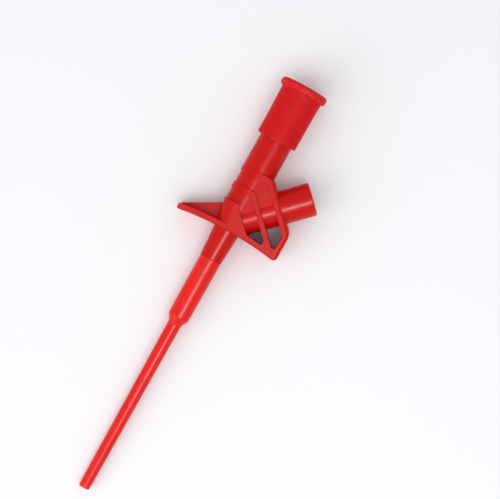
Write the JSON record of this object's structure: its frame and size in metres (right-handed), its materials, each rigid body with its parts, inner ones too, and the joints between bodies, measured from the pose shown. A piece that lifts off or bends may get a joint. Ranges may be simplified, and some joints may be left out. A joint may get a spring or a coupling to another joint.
{
  "type": "plunger test clip",
  "caption": "Insulated spring-plunger test clip: a long thin probe tube with retracting jaws, a finger guard with a slotted cage, an inclined shrouded 4 mm socket and a thumb cap.",
  "frame": {"origin": "centre of the probe tube's open mouth, on the main axis", "axes": "+Y along the main axis from the tip to the plunger cap; +X towards the side that the inclined socket is on; +Z square to the plane of both axes, up when the clip lies on a table with its socket beside it"},
  "size_m": [0.0427, 0.1561, 0.017],
  "materials": {
    "handle_red": "satin moulded polyamide, red",
    "sleeve_red": "smooth moulded polyamide, bright red",
    "cap_red": "matt moulded plastic, crimson",
    "bush_white": "natural acetal",
    "brass": "turned",
    "bronze": "rolled spring bronze",
    "nickel_brass": "nickel-plated brass, turned",
    "steel": "drawn stainless steel",
    "spring_steel": "stainless spring steel"
  },
  "bodies": {
    "handle": {"handle_body": "handle_red", "front_sleeve": "sleeve_red", "nose_bush": "bush_white", "contact_block": "brass", "contact_wiper": "bronze", "socket_contact": "nickel_brass", "contact_washer": "steel", "spring_seat": "steel", "return_spring": "spring_steel"},
    "plunger": {"plunger_cap": "cap_red", "cap_insert": "brass", "plunger_rod": "steel", "stop_ring": "spring_steel", "jaw_ferrule": "nickel_brass"},
    "jaw_right": {"jaw_right": "spring_steel"},
    "jaw_left": {"jaw_left": "spring_steel"}
  },
  "joints": [
    {"name": "plunger_slide", "type": "slide", "parent": "handle", "child": "plunger", "axis": [0, -1, 0], "range_m": [0, 0.01], "stiffness_N_per_m": 300, "springref_m": -0.01, "deforming": ["return_spring"]},
    {"name": "jaw_right_open", "type": "hinge", "parent": "plunger", "child": "jaw_right", "pos_m": [0.00045, 0.0132, 0], "axis": [0, 0, 1], "range_deg": [0, 7]},
    {"name": "jaw_left_open", "type": "hinge", "parent": "plunger", "child": "jaw_left", "pos_m": [-0.00045, 0.0132, 0], "axis": [0, 0, -1], "range_deg": [0, 7]}
  ],
  "couplings": [
    {"joint": "jaw_right_open", "follows": "plunger_slide", "rad_per_m": 12},
    {"joint": "jaw_left_open", "follows": "plunger_slide", "rad_per_m": 12}
  ]
}
